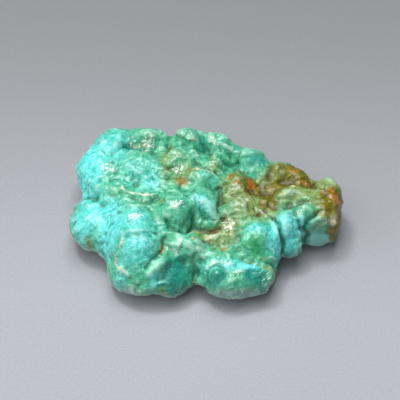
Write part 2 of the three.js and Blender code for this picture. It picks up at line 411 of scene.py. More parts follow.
# %% Seams
SEAMS = [
    ("under the lip", [(-16.0, 0.4), (-15.2, -0.9), (-13.4, -1.5), (-10.8, -1.5), (-8.4, -1.0)],
     0.5, 0.25),
    ("behind the shell", [(-14.0, 10.8), (-12.4, 10.5), (-11.2, 10.5), (-9.0, 10.7)], 0.6, 0.15),
    ("shell's left", [(-16.2, 8.6), (-16.4, 6.0), (-16.2, 3.2)], 0.5, 0.2),
    ("shell's right", [(-9.0, 9.4), (-8.4, 6.4), (-8.2, 3.0), (-7.6, 0.6)], 0.5, 0.1),
    ("round the centre dome",
     [(-7.2, -6.2), (-6.6, -7.4), (-5.0, -7.9), (-3.5, -7.6), (-2.4, -6.5), (-2.1, -5.0)],
     0.4, 0.6),
    ("dome crease", [(-15.2, -10.9), (-13.6, -10.0), (-12.0, -10.4), (-10.2, -9.8), (-8.8, -8.6)],
     0.55, 0.3),
    ("along the finger",
     [(-7.4, -9.2), (-7.6, -10.9), (-8.4, -12.4), (-9.6, -13.4), (-10.5, -14.5)],
     0.42, 0.55),
    ("below the finger", [(-6.2, -13.8), (-7.1, -15.1), (-8.7, -16.2)], 0.6, 0.3),
    ("olive seam", [(2.3, 2.4), (2.6, 0.2), (2.5, -2.0), (2.4, -3.8)], 0.4, 0.7),
    ("brown seam", [(-3.0, -6.9), (-1.6, -6.5), (0.4, -6.9), (2.6, -6.6)], 0.55, 0.8),
    ("teal valley", [(-4.2, -13.0), (-4.6, -14.8), (-5.0, -17.0)], 0.8, 0.3),
    ("brown groove", [(-2.0, -13.6), (-2.1, -15.4), (-2.2, -17.0)], 0.5, 0.5),
    ("above the shelf", [(-1.0, -12.4), (2.0, -12.0), (5.0, -12.5), (7.4, -13.2)], 0.6, 0.2),
    ("right dome | knuckle",
     [(12.0, -4.4), (13.0, -6.2), (13.7, -7.8), (13.9, -9.8), (13.4, -12.0)],
     0.4, 0.8),
    ("over the window", [(-0.1, -15.6), (0.4, -14.7), (1.8, -14.2), (3.2, -14.7), (3.7, -15.8)],
     0.3, 0.35),
    ("right dome | centre lobe", [(12.6, -12.4), (10.4, -12.8), (8.2, -12.8), (6.6, -12.4)],
     0.5, 0.25),
    ("between knuckles", [(15.8, -2.2), (16.2, -4.0), (16.9, -5.6)], 0.4, 0.5),
    ("knuckle | end", [(20.2, -3.2), (19.2, -4.1), (17.9, -4.7), (17.2, -5.6)], 0.34, 0.9),
    ("knuckle | saddle", [(12.2, -2.2), (14.0, -2.0), (15.8, -1.0), (18.2, -0.4)], 0.5, 0.3),
    ("knob 2 | 3", [(-6.6, 15.6), (-6.8, 12.4), (-7.2, 10.0)], 0.6, 0.5),
    ("knob 3 swirl", [(-5.6, 13.6), (-4.0, 12.0), (-1.2, 11.8), (0.6, 10.9)], 0.35, 0.3),
    ("knob 3 side", [(-1.4, 13.6), (0.0, 11.8), (0.9, 10.4)], 0.4, 0.3),
    ("knob 4 foot", [(1.2, 8.6), (2.6, 9.2), (4.6, 9.0), (5.8, 9.6)], 0.35, 0.3),
    ("knob 3 | 4", [(-0.2, 15.6), (-0.4, 13.0), (0.4, 10.6), (0.6, 8.6)], 0.45, 0.4),
    ("knob 4 | 5", [(6.5, 13.0), (6.3, 10.8), (5.8, 9.0), (5.0, 7.2)], 0.4, 0.35),
    ("knob 5 | crest", [(12.2, 9.0), (11.8, 7.0), (11.5, 4.8)], 0.5, 0.5),
    ("crest | end", [(19.2, 6.2), (19.4, 4.6), (19.8, 2.8)], 0.5, 0.6),
    ("left lobe | shoulder", [(-23.8, 1.8), (-22.0, 1.4), (-20.0, 0.6)], 0.5, 0.5),
    ("left lobe | dome", [(-19.0, -9.4), (-18.2, -7.2), (-17.6, -5.0), (-16.6, -3.4)], 0.9, 0.2),
]
print(len(SEAMS), "seams")

# %% [markdown]
# A knob is a small lobe, or a small hollow where its height is negative. It is a middle,
# half-sizes, a turn and a height.

# %% Knobs and hollows
KNOBS = [
    ("ring nodule", (9.8, 5.5), (1.1, 1.0), 0, 0.7),
    ("ring's eye", (9.8, 5.6), (0.4, 0.35), 0, -0.35),
    ("spark", (15.8, 2.9), (0.5, 0.35), 20, 0.4),
    ("quartz 1", (12.2, 4.3), (0.55, 0.45), 0, 0.35),
    ("quartz 2", (14.3, 5.7), (0.5, 0.6), 0, 0.35),
    ("quartz 3", (13.2, 3.3), (0.6, 0.45), 30, 0.3),
    ("brown pool", (8.8, 1.9), (1.9, 1.1), -15, -0.5),
    ("brown pool 2", (11.2, -0.9), (1.5, 1.2), 0, -0.4),
    ("pit on the dome", (-13.8, -7.0), (0.4, 0.35), 0, -0.5),
    ("pit on the left lobe", (-23.8, -3.7), (0.3, 0.3), 0, -0.4),
    ("window", (1.8, -15.6), (1.3, 0.9), 0, 0.7),
    ("vivid knob", (-1.3, -7.9), (0.9, 0.7), 0, 0.35),
    ("cream knob", (1.0, -8.1), (1.0, 0.6), 0, 0.35),
    ("saddle knob", (14.8, 1.3), (1.2, 1.0), 0, 0.3),
    ("green knob", (18.0, -3.2), (1.6, 1.4), 0, 1.5),
    ("blue bulge", (14.4, -6.4), (1.5, 2.2), 8, 0.4),
    ("dome's right edge", (12.5, -8.4), (0.9, 2.6), 8, 0.55),
    ("dome's left side", (-6.8, -4.8), (1.7, 1.8), 0, 0.6),
    ("bank knob", (-4.9, -10.0), (1.0, 0.8), 20, 0.4),
    ("back shoulder", (-16.2, 11.4), (1.8, 1.6), 0, 1.1),
    ("shell's flat top", (-12.2, 6.2), (3.2, 2.4), 8, -0.6),
    ("fill beside the shell", (-8.0, 5.0), (1.5, 3.6), 0, 0.5),
    ("knob 3 top", (-3.6, 14.4), (2.2, 1.7), 0, 1.15),
    ("knob 4 shoulder", (1.0, 14.2), (1.7, 1.4), 0, 1.4),
    ("back shoulder 2", (-11.0, 14.4), (3.0, 1.6), 0, 1.0),
    ("knob 5 top", (8.6, 10.8), (2.2, 1.5), 0, 1.0),
    ("between knobs 3 and 4", (-0.8, 14.8), (1.2, 1.2), 0, 0.7),
    ("between knobs 4 and 5", (6.5, 11.8), (1.3, 1.6), 0, 1.2),
    ("crest top", (12.6, 8.4), (1.2, 1.0), 0, 0.4),
    ("finger tip", (-7.7, -13.4), (1.3, 1.0), 38, 0.35),
    ("end crown", (22.9, 3.2), (1.5, 2.4), 0, 0.75),
]
print(len(KNOBS), "knobs and hollows")

# %% [markdown]
# All the strokes are added up before the skin moves once, so that none bends the normals that the
# next would follow. The places are stirred a little, because straight lines would look ruled.

# %% Drawing them on the skin
def drawn_strokes(places):
    push = np.zeros(len(places))
    for _, path, width, height in RIDGES:
        push += height * bell(line(places, path, width))
    for _, path, width, depth in SEAMS:
        push -= depth * bell(line(places, path, width))
    for _, at, size, turn, height in KNOBS:
        push += height * bell(egg(places, at, size, turn))
    return push


places = corners_of(skin)
normals = evened(normals_of(skin), rounds=8)
push = drawn_strokes(stirred(places, size=2.2, strength=0.35, shift=3.1))
push *= facing_up(normals, -0.2)
push *= off_the_flat(places, 1.2)
move_corners(skin, evened(places + push[:, None] * normals, rounds=1))
print("drawn strokes go from", push.min().round(2), "to", push.max().round(2), "mm")

# %% [markdown]
# Turquoise is slightly porous, and soft grains fall out of it as it is tumbled. Pits could be
# drawn one by one. Here they sit in the cells of a Voronoi pattern, only in some zones and off
# the calm domes, so they gather as real ones do. A fine grain takes off the last evenness.

# %% Pits and fine grain
PIT_SPACING, PIT_DEPTH = 0.9, 0.05
GRAIN_SIZE, GRAIN_HEIGHT = 0.55, 0.02

places = corners_of(skin)
normals = evened(normals_of(skin), rounds=1)
to_pit = sampled(places, PIT_SPACING, 31.0, lambda spot: noise.voronoi(spot)[0][0])
pit_zone = smooth_step(waves(places, size=2.6, shift=40.0), 0.15, 0.5) * lively
push = -PIT_DEPTH * pit_zone * (1 - smooth_step(to_pit, 0.12, 0.38))
push += GRAIN_HEIGHT * waves(places, GRAIN_SIZE, shift=21.0)
push *= off_the_flat(places, 0.8)
places = places + push[:, None] * normals
print("pits go down to", push.min().round(2), "mm")

# %% [markdown]
# All those strokes have moved the outline a little. Scaling the object would leave its place and
# size in settings, so the corners themselves are drawn back to the CAD form's box, and the ground
# flat is made truly flat again.

# %% Back to size
GROUND_BELOW = 0.07

low, high = (np.array(corner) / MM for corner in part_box("nugget"))
places = low + (places - places.min(0)) * (high - low) / (places.max(0) - places.min(0))
places[places[:, 2] < GROUND_BELOW, 2] = 0.0
move_corners(skin, places)
skin.polygons.foreach_set("use_smooth", np.ones(len(skin.polygons), bool))
print("the finished skin, in mm:", (places.max(0) - places.min(0)).round(2))

# %% [markdown]
# ## Where each mineral and each painted light is
#
# The colours of turquoise follow its chemistry: copper makes it blue, iron turns it green, and
# where water brought more iron in, it is stained olive, ochre and rust brown, above all in
# hollows. The patches could be painted by hand, but not the same way twice. So each mineral, and
# each patch of painted light, is a mask, a number from 0 to 1 per corner of the skin, built from
# soft spots with frayed edges. The masks are stored on the mesh, and the material reads them by
# name.
#
# Every spot is its middle, its half-sizes, its turn and its strength. A middle with three numbers
# is a spot on a side wall. The first two minerals are the copper-rich sky blue of the domes, and
# the pale mint where the stone thins over a ridge; some mint spots, such as the one on the right
# knuckle, are painted highlights.

# %% Sky blue and mint
MINERALS_AND_PAINTED_LIGHT = {}


def count(*patches):
    print("spots:", {patch: len(MINERALS_AND_PAINTED_LIGHT[patch]) for patch in patches})


MINERALS_AND_PAINTED_LIGHT["blue"] = [
    ((-22.0, 7.0), (3.2, 5.4), 15, 0.9),
    ((-18.4, 12.4), (4.4, 3.4), 35, 0.6),
    ((-21.6, -3.0), (3.0, 4.6), -10, 0.75),
    ((-17.0, -6.6), (2.2, 4.6), -10, 1.0),
    ((-12.6, -5.6), (2.6, 2.2), 20, 0.6),
    ((-12.2, -12.4), (3.0, 2.2), 0, 0.65),
    ((-12.0, -8.8), (3.8, 3.0), 0, 0.55),
    ((-0.4, -3.2), (2.2, 1.2), -45, 0.5),
    ((-15.4, -15.0), (1.4, 1.6), 20, 0.5),
    ((-9.8, 2.2), (1.8, 1.5), 20, 0.7),
    ((-12.2, 4.4), (4.0, 3.2), 10, 0.4),
    ((-18.0, -3.6), (1.6, 2.6), 10, 0.9),
    ((-16.8, 8.6), (3.0, 3.0), 0, 0.4),
    ((-1.4, -1.8), (1.8, 0.9), -10, 0.6),
    ((-0.4, 4.2), (2.0, 1.0), -6, 0.3),
    ((14.0, -6.8), (2.0, 3.6), 8, 1.0),
    ((16.6, -5.2), (1.4, 1.4), 0, 0.9),
    ((8.6, -7.4), (1.8, 1.4), 20, 0.6),
    ((12.0, -9.0), (1.5, 2.8), 10, 0.8),
    ((3.2, -13.6), (4.0, 1.2), 0, 0.7),
    ((7.7, -14.4), (1.5, 0.8), -10, 1.0),
    ((-9.1, -16.2), (1.4, 0.8), 0, 0.8),
    ((9.4, 9.6), (1.6, 1.2), 0, 0.3),
    ((-4.1, -14.4), (0.4, 1.8), 0, 0.6),
]
MINERALS_AND_PAINTED_LIGHT["mint"] = [
    ((-12.0, 5.4), (3.0, 2.4), 10, 0.2),
    ((-11.0, 1.8), (2.0, 1.0), 0, 0.4),
    ((-12.6, -1.0), (3.0, 0.8), -4, 0.5),
    ((-14.0, -4.0), (3.6, 1.4), 10, 0.4),
    ((-8.7, -14.1), (2.4, 1.0), 38, 0.75),
    ((-5.0, -10.0), (1.7, 1.3), 20, 0.8),
    ((-1.2, -11.4), (2.2, 0.8), -6, 0.6),
    ((-0.9, -3.2), (1.8, 0.9), -45, 0.15),
    ((1.0, -13.4), (1.4, 0.8), 0, 0.8),
    ((3.6, -13.0), (1.6, 0.8), 0, 0.45),
    ((5.8, -10.6), (0.7, 1.6), 0, 0.5),
    ((7.2, -8.8), (0.9, 0.7), 0, 0.7),
    ((16.2, -3.6), (1.0, 0.8), 0, 0.8),
    ((1.2, 13.2), (1.4, 0.9), 0, 0.5),
    ((-3.0, 9.6), (1.6, 1.2), 0, 0.4),
    ((15.0, 1.2), (1.8, 1.3), 0, 0.45),
    ((9.4, -17.0), (1.6, 0.6), 20, 0.4),
    ((-19.6, -8.2, 2.4), (3.4, 1.8, 1.5), 0, 0.8),
    ((-16.6, -12.6, 2.2), (1.4, 3.6, 1.6), 0, 0.7),
]
count("blue", "mint")

# %% [markdown]
# The darkest paints are bottle green and teal in the valleys and around the centre dome, partly
# painted shade in those hollows, and vivid green in a few small windows.

# %% Dark greens and painted shade
MINERALS_AND_PAINTED_LIGHT["deep"] = [
    ((9.4, -15.0), (1.2, 0.8), 0, 0.5),
    ((-5.4, -14.4), (2.5, 2.9), -8, 1.0),
    ((-7.0, -16.8), (1.8, 1.2), 0, 0.8),
    ((1.6, -15.8), (1.5, 1.0), 0, 1.0),
    ((2.0, -15.6), (1.2, 0.9), 0, 0.9),
    ((6.4, -11.4), (1.2, 1.2), 0, 0.4),
    ((8.6, -15.7), (2.4, 1.1), -10, 1.0),
    ((-3.6, -4.6), (1.0, 2.0), 30, 0.5),
    ((-3.6, 11.4), (2.6, 0.7), -20, 0.5),
    ((9.0, 5.4), (1.5, 1.3), 0, 0.5),
    ((14.9, -9.6), (1.0, 1.6), 8, 0.6),
    ((-0.6, 12.6), (0.9, 2.0), 0, 0.6),
    ((5.6, 12.0), (0.9, 1.6), 0, 0.6),
    ((9.0, 9.4), (2.4, 2.2), 10, 0.55),
    ((-13.0, 11.2), (3.2, 1.1), 4, 0.9),
    ((-22.4, 1.4), (1.2, 0.8), 0, 0.5),
    ((-5.2, -8.0), (1.4, 0.7), -20, 0.5),
    ((-23.8, -3.7), (0.3, 0.3), 0, 1.0),
    ((-2.0, -6.0), (0.6, 1.2), 20, 0.6),
    ((-11.6, 13.2), (3.0, 1.2), 0, 0.5),
    ((-3.2, 14.6), (1.8, 1.2), 0, 0.45),
]
MINERALS_AND_PAINTED_LIGHT["vivid"] = [
    ((8.1, -10.1), (1.2, 1.0), -10, 1.0),
    ((8.9, -11.7), (1.3, 1.0), -20, 0.7),
    ((-1.3, -7.9), (0.9, 0.8), 0, 0.9),
    ((1.8, -15.8), (1.4, 0.9), 0, 0.15),
    ((17.6, -3.9), (0.9, 0.8), 0, 0.6),
    ((1.2, 10.6), (1.2, 1.4), 0, 0.3),
    ((4.4, 8.8), (1.4, 1.2), 0, 0.35),
]
count("deep", "vivid")

# %% [markdown]
# Iron came in from the narrow end. It left a wide olive halo, amber brown inside it, and small
# patches of rust where it is thickest.

# %% Iron stains
MINERALS_AND_PAINTED_LIGHT["olive"] = [
    ((8.0, -1.0), (5.4, 4.4), -10, 1.0),
    ((4.6, 2.6), (2.2, 3.0), 0, 0.9),
    ((3.8, -6.4), (2.2, 2.8), 20, 0.9),
    ((-0.2, -7.6), (3.2, 1.6), -6, 0.9),
    ((2.2, -9.6), (2.2, 1.4), -20, 0.6),
    ((16.0, 4.0), (6.4, 4.6), -20, 1.0),
    ((10.6, 2.6), (3.2, 2.2), 0, 1.0),
    ((22.4, 1.4), (3.6, 4.8), 0, 1.0),
    ((22.0, -2.4, 8.4), (3.4, 3.0, 3.4), 0, 1.0),
    ((-4.4, 5.0), (3.2, 3.2), 0, 0.6),
    ((-4.8, 3.2), (1.6, 1.4), 0, 0.6),
    ((1.0, 6.6), (3.2, 1.8), 0, 0.45),
    ((-7.8, 8.4), (1.2, 3.4), 0, 0.65),
    ((-8.0, 3.0), (1.2, 2.2), 0, 0.35),
    ((-6.6, 12.0), (0.6, 0.7), 0, 0.8),
    ((-11.0, -2.2), (2.0, 0.5), -4, 0.4),
    ((-8.2, -1.8), (1.0, 0.8), 0, 0.7),
    ((-12.0, -10.2), (1.6, 0.3), 4, 0.5),
    ((-21.2, -7.4), (0.8, 1.1), 0, 0.8),
    ((-19.8, -5.4), (0.7, 0.9), 0, 0.35),
    ((11.0, -14.0), (0.9, 0.5), 0, 0.9),
    ((10.5, -12.3), (0.6, 0.5), 0, 0.6),
    ((7.9, -13.2), (1.2, 0.4), 0, 0.6),
    ((-7.9, -10.8), (0.5, 1.6), -6, 0.8),
    ((-12.4, 12.2), (1.6, 0.7), 8, 0.6),
    ((-5.6, 9.0), (2.2, 1.6), 0, 0.4),
    ((1.6, 8.6), (1.0, 2.0), 0, 0.5),
    ((-2.1, -15.3), (0.7, 1.2), 0, 0.9),
    ((-7.6, -17.4), (0.9, 0.5), 0, 0.7),
]
MINERALS_AND_PAINTED_LIGHT["amber"] = [
    ((8.8, 2.0), (2.4, 1.7), -15, 1.0),
    ((5.4, 4.2), (2.4, 1.4), 0, 0.5),
    ((7.8, 4.4), (1.2, 1.2), 0, 0.9),
    ((11.8, 2.8), (2.2, 2.0), 0, 0.9),
    ((11.2, -0.8), (2.0, 1.8), 0, 1.0),
    ((14.8, 6.2), (4.2, 2.6), -24, 0.8),
    ((14.2, 3.8), (2.4, 1.1), 0, 0.8),
    ((18.2, 4.4), (2.2, 1.8), -10, 0.9),
    ((16.6, 7.4), (3.0, 1.6), -24, 0.7),
    ((22.2, -0.8), (2.6, 3.0), 10, 1.0),
    ((24.2, -1.0), (1.4, 3.6), 0, 1.0),
    ((22.4, -4.8, 4.6), (1.0, 1.4, 2.4), 0, 0.8),
    ((21.0, -3.4), (1.0, 1.0), 0, 0.7),
    ((23.6, -3.0, 8.0), (0.5, 0.9, 2.0), 0, 0.8),
    ((5.6, 5.6), (1.4, 0.7), 0, 0.6),
    ((22.6, -4.2, 7.2), (1.6, 1.2, 2.4), 0, 0.8),
    ((-4.8, 3.6), (1.3, 0.7), 0, 0.7),
    ((-3.2, 5.6), (1.8, 0.8), 10, 0.55),
    ((-2.6, -6.9), (1.1, 0.5), 20, 0.9),
    ((0.8, -6.9), (1.8, 0.4), 0, 0.9),
    ((1.2, 9.0), (0.5, 0.9), 0, 0.5),
    ((18.2, -5.4), (0.5, 0.4), 0, 0.8),
    ((23.6, -4.2, 3.8), (1.2, 1.6, 2.8), 0, 0.9),
]
MINERALS_AND_PAINTED_LIGHT["rust"] = [
    ((4.2, 4.5), (0.8, 0.7), 0, 0.8),
    ((5.4, 2.6), (0.9, 0.7), 0, 0.9),
    ((7.9, 3.4), (0.8, 1.5), 0, 0.9),
    ((17.8, 4.3), (1.6, 0.6), -10, 0.7),
    ((15.6, 6.6), (1.4, 0.6), -24, 0.5),
    ((-4.4, 3.0), (1.9, 0.45), 0, 0.75),
    ((-3.0, 5.2), (0.7, 0.4), 0, 0.45),
    ((-2.9, -7.2), (0.9, 0.5), 30, 0.9),
    ((1.3, -6.8), (0.9, 0.4), 0, 0.8),
    ((2.8, -10.4), (0.7, 0.5), 0, 0.75),
    ((0.8, -8.9), (0.8, 0.4), 0, 0.5),
    ((-2.4, -9.5), (0.8, 0.5), 0, 0.7),
    ((-8.0, -1.8), (0.4, 0.4), 0, 0.6),
    ((23.2, -0.4), (1.2, 2.6), 10, 0.75),
    ((21.4, 0.6), (1.2, 1.0), 0, 0.5),
    ((-11.4, -15.2), (0.4, 0.3), 0, 0.5),
]
count("olive", "amber", "rust")

# %% [markdown]
# Quartz and clay show as cream lines and dots, such as along the curved lip, and some cream spots
# are painted highlights where glints fall. The other list here marks where the polish is best, and
# where short white dashes are painted on the crinkled skin as painted glints.

# %% Cream, painted highlights and painted glints
MINERALS_AND_PAINTED_LIGHT["cream"] = [
    ((-15.2, 0.9), (0.3, 0.7), 0, 0.7),
    ((-12.0, -0.4), (2.8, 0.22), -2, 0.7),
    ((-14.9, -10.9), (0.4, 0.8), -15, 0.6),
    ((-16.0, -12.8), (0.3, 0.8), 0, 0.6),
    ((-15.2, -14.3), (0.9, 0.35), -40, 0.8),
    ((-14.2, -15.2), (0.7, 0.3), -35, 0.6),
    ((-13.9, -15.2), (0.4, 0.3), 0, 0.5),
    ((-10.3, 13.1), (0.6, 0.5), 0, 0.6),
    ((-11.0, 11.2), (0.8, 0.4), 20, 0.5),
    ((-19.4, 7.6), (0.4, 0.35), 0, 0.6),
    ((-17.6, 6.6), (0.4, 0.5), 0, 0.6),
    ((-1.6, 5.5), (1.6, 0.4), 10, 0.6),
    ((-2.5, 12.8), (0.9, 0.6), 0, 0.5),
    ((-4.0, 2.3), (0.8, 0.25), 0, 0.6),
    ((0.6, -8.2), (1.0, 0.35), 15, 0.7),
    ((2.1, -7.2), (0.5, 0.6), 0, 0.6),
    ((0.8, 5.0), (1.5, 0.35), 0, 0.6),
    ((9.9, -2.8), (1.3, 0.3), -45, 0.9),
    ((7.4, -0.4), (0.7, 0.9), 30, 0.5),
    ((5.4, -4.4), (0.8, 1.0), 20, 0.4),
    ((12.2, 4.3), (0.4, 0.4), 0, 0.35),
    ((14.6, 5.3), (0.4, 0.5), 0, 0.4),
    ((15.8, 2.9), (0.5, 0.3), 15, 1.0),
    ((22.9, -3.9, 8.2), (1.5, 1.3, 1.5), 20, 0.85),
    ((24.4, -4.0, 4.6), (0.6, 1.2, 1.4), 0, 0.4),
    ((-13.6, -6.8), (0.6, 0.4), 0, 0.5),
]
# Spots where white glints are painted on, and where the skin is a little glossier.
MINERALS_AND_PAINTED_LIGHT["spark"] = [
    ((-12.4, -5.8), (1.1, 1.5), -30, 1.0),
    ((-12.2, 4.6), (2.2, 1.4), 10, 0.4),
    ((-17.8, 6.0), (1.8, 1.5), 0, 0.8),
    ((-12.2, -0.2), (3.0, 0.3), -2, 1.0),
    ((-10.8, 12.6), (1.4, 1.2), 0, 0.9),
    ((-14.0, 12.6), (0.8, 0.8), 0, 0.8),
    ((-3.8, 13.6), (1.6, 1.0), 0, 0.6),
    ((1.4, 13.0), (1.2, 0.9), 0, 0.7),
    ((-2.6, 9.0), (1.8, 1.2), 0, 0.6),
    ((-4.8, 6.0), (1.6, 1.2), 0, 0.8),
    ((-5.4, -4.0), (1.8, 1.2), 0, 0.7),
    ((-4.9, -10.2), (1.6, 1.2), 20, 0.75),
    ((-1.4, -11.4), (1.6, 0.8), 0, 0.7),
    ((-1.2, -3.0), (1.6, 0.9), -50, 0.55),
    ((1.0, -8.2), (1.6, 0.8), 10, 0.7),
    ((3.8, -6.0), (1.2, 2.0), 20, 0.9),
    ((9.9, -2.8), (1.6, 0.5), -45, 1.0),
    ((7.0, -0.4), (1.0, 1.0), 30, 0.8),
    ((5.0, 1.8), (1.4, 1.0), 0, 0.7),
    ((13.0, 4.6), (1.6, 1.2), 0, 0.5),
    ((15.8, 2.9), (0.7, 0.35), 15, 1.0),
    ((15.0, 1.4), (1.4, 0.8), 0, 0.6),
    ((16.8, -3.0), (0.9, 0.8), 0, 0.9),
    ((21.4, 4.2), (1.4, 0.8), 0, 0.25),
    ((0.6, -13.6), (0.9, 0.6), 0, 0.8),
    ((3.4, -13.4), (1.4, 0.8), 0, 0.8),
    ((5.2, -15.4), (1.2, 1.0), 0, 0.8),
    ((10.4, -15.6), (1.6, 1.0), 0, 0.6),
]
count("cream", "spark")

# %% [markdown]
# The first list here is the flat break at the narrow end, which the tumbler hardly touched; its
# teal is painted lighter, as painted light on a face turned away from the lamps. The second list
# is the low front edge, painted grey-green, partly the stone's own colour and partly a painted
# reflection of the pale paper.

# %% Break painted as if lit, and grey edge
MINERALS_AND_PAINTED_LIGHT["dull"] = [
    ((19.8, -4.8, 3.0), (2.5, 1.2, 3.4), 0, 1.0),
]
MINERALS_AND_PAINTED_LIGHT["grey"] = [
    ((-13.0, -16.4, 3.8), (2.2, 1.6, 1.3), 0, 0.85),
    ((-8.0, -17.6, 2.0), (4.6, 1.4, 1.0), 0, 0.6),
    ((4.8, -17.4, 3.0), (5.0, 1.8, 2.2), 0, 0.9),
    ((10.6, -15.6, 2.2), (2.0, 2.0, 1.4), 0, 0.6),
    ((13.6, -9.4, 1.8), (1.6, 2.0, 1.4), 0, 0.6),
    ((23.0, -5.0, 1.2), (1.6, 1.6, 1.2), 0, 0.6),
]
count("dull", "grey")

# %% [markdown]
# A spot's edge is frayed by stirring the places twice, coarsely and finely, before the distance
# is taken. Where spots overlap they add up like coats of thin paint, so a mask never passes 1.

# %% Masks from the spots
SPOT_CORE, SPOT_EDGE = 0.3, 1.6

normals = evened(normals_of(skin), rounds=5)
upward = facing_up(normals, -0.3)
coarsely = stirred(places, size=1.6, strength=0.55, shift=50.0)
frayed = stirred(coarsely, size=0.6, strength=0.3, shift=60.0)
masks = {}
for patch, spots in MINERALS_AND_PAINTED_LIGHT.items():
    clear = np.ones(len(places))
    for at, size, turn, amount in spots:
        side = upward if len(at) == 2 else 1.0
        reach = egg(frayed, at, size, turn)
        clear *= 1 - amount * side * (1 - smooth_step(reach, SPOT_CORE, SPOT_EDGE))
    masks[patch] = 1 - clear
    print(patch, "covers", round(100 * float((masks[patch] > 0.5).mean()), 1), "% of the skin")

# %% [markdown]
# Three more masks come from the shape itself. `seam` is how deep a corner lies below the smoothed
# skin around it: dirt and dark iron stay there, because the tumbler's grit never reached it, and
# the seams are darkened further as painted shade. `crest` is the opposite, where the grit rubbed
# most; it is painted palest, partly as wear and partly as a painted highlight. The rim mask is the
# low skin that faces down, which is painted pale all round the foot of the stone, as a painted
# reflection of the pale paper. Blender's own pointiness is close to the first two, but it can't
# be told how wide a hollow to look for.

# %% Seam, crest and rim masks
WIDE_ROUNDS, WIDE_RELIEF = 60, 0.30
CLOSE_ROUNDS, CLOSE_RELIEF = 10, 0.08


def standing_out(places, normals, rounds):
    """How far each corner stands out of the smoothed skin, in millimetres."""
    return ((places - evened(places, rounds)) * normals).sum(1)


wide = standing_out(places, normals, WIDE_ROUNDS)
close = standing_out(places, normals, CLOSE_ROUNDS)
low_down = 1 - smooth_step(places[:, 2], 2.5, 4.5)
# Pale rim at the foot: where a painted reflection of the pale paper goes.
masks["rim"] = smooth_step(-normals[:, 2], 0.0, 0.4) * low_down
masks["seam"] = np.clip(-wide / WIDE_RELIEF, 0, 1) * 0.55
masks["seam"] += np.clip(-close / CLOSE_RELIEF, 0, 1) * 0.45
masks["crest"] = np.clip(wide / WIDE_RELIEF, 0, 1) * 0.45
masks["crest"] += np.clip(close / CLOSE_RELIEF, 0, 1) * 0.55

for name, values in masks.items():
    layer = skin.attributes.new(name, "FLOAT", "POINT")
    layer.data.foreach_set("value", values.astype(np.float32))
print("masks on the skin:", ", ".join(masks))

# %% [markdown]
# ## Writing a material as sums
#
# A material is a net of nodes. It can be wired by hand in the editor, but most of this one is
# arithmetic on masks, which reads better as sums. `Value` wraps a socket so that `mask * 0.5`
# adds a Math node, and `Finish` adds every other kind of node.

# %% Values in a material
class Value:
    """A number that changes over the surface."""

    def __init__(self, finish, socket):
        self.finish, self.socket = finish, socket

    def _math(self, operation, first, second):
        return self.finish.node(
            "ShaderNodeMath", {"operation": operation}, {0: first, 1: second}, out="Value"
        )

    def __add__(self, other):
        return self._math("ADD", self, other)

    __radd__ = __add__

    def __sub__(self, other):
        return self._math("SUBTRACT", self, other)

    def __rsub__(self, other):
        return self._math("SUBTRACT", other, self)

    def __mul__(self, other):
        return self._math("MULTIPLY", self, other)

    __rmul__ = __mul__


# %% Finishes
class Finish:
    """A material under construction."""

    def __init__(self, name):
        self.material = bpy.data.materials.new(name)
        self.material.use_nodes = True
        self.tree = self.material.node_tree
        self.shader = self.tree.nodes["Principled BSDF"]

    def put(self, socket, value):
        if isinstance(value, Value):
            value = value.socket
        if isinstance(value, bpy.types.NodeSocket):
            self.tree.links.new(value, socket)
        else:
            socket.default_value = value

    def feed(self, **values):
        """Set the shader's own sockets, whose names are given with _ for each space."""
        for name, value in values.items():
            self.put(self.shader.inputs[name.replace("_", " ")], value)

    def node(self, kind, settings=None, values=None, out=None):
        made = self.tree.nodes.new(kind)
        for name, setting in (settings or {}).items():
            if name == "stops":
                ramp = made.color_ramp
                while len(ramp.elements) < len(setting):
                    ramp.elements.new(0.5)
                for element, (place, colour) in zip(ramp.elements, setting):
                    element.position, element.color = place, colour
            else:
                setattr(made, name, setting)
        for name, value in (values or {}).items():
            self.put(made.inputs[name], value)
        if out is None:
            return made
        socket = made.outputs[out]
        return Value(self, socket) if socket.type == "VALUE" else socket

    def mask(self, name):
        return self.node("ShaderNodeAttribute", {"attribute_name": name}, out="Fac")

    def step(self, value, low, high):
        """0 below low, 1 above high, and smooth between."""
        return self.node(
            "ShaderNodeMapRange",
            {"interpolation_type": "SMOOTHSTEP", "clamp": True},
            {"Value": value, "From Min": low, "From Max": high},
            out="Result",
        )

    def blended(self, share, first, second, way="MIX"):
        """The first colour where share is 0, and the second where it is 1."""
        made = self.node("ShaderNodeMix", {"data_type": "RGBA", "blend_type": way})
        self.put(made.inputs["Factor"], share)
        self.put(made.inputs[6], first)
        self.put(made.inputs[7], second)
        return made.outputs[2]

    def cloud(self, where, size, detail=3.0, rough=0.55, bend=0.0, kind="FBM"):
        """Cloudy noise from 0 to 1, whose blotches are about size across, in millimetres."""
        return self.node(
            "ShaderNodeTexNoise",
            {"noise_dimensions": "3D", "noise_type": kind},
            {
                "Vector": where,
                "Scale": 1 / (size * MM),
                "Detail": detail,
                "Roughness": rough,
                "Distortion": bend,
            },
            out="Fac",
        )


def rgb(code):
    """A colour in Blender's linear values from its usual six-letter code."""
    shares = [int(code[i : i + 2], 16) / 255 for i in (0, 2, 4)]
    linear = [s / 12.92 if s <= 0.04045 else ((s + 0.055) / 1.055) ** 2.4 for s in shares]
    return (*linear, 1.0)


print("sea green in linear values:", [round(part, 3) for part in rgb("5cb89a")])

# %% [markdown]
# ## The turquoise
#
# Polished turquoise is never one colour: it is clouded at the size of a lobe, mottled at the size
# of a grain, and crossed by fine darker veins. One noise with much detail would give all of these
# the same weight, so each is its own cloud. The streak cloud is squeezed along one direction, for
# the short dashes of painted glint on the crinkled skin, and `vein` is the thin line along which a
# drifting cloud crosses its own middle value.

# %% Patterns in the turquoise
COMBED = {"Rotation": (0.0, 0.0, 0.9), "Scale": (2.0, 0.8, 1.0)}
VEIN_WIDTH, VEIN_STRENGTH = 0.0016, 0.45

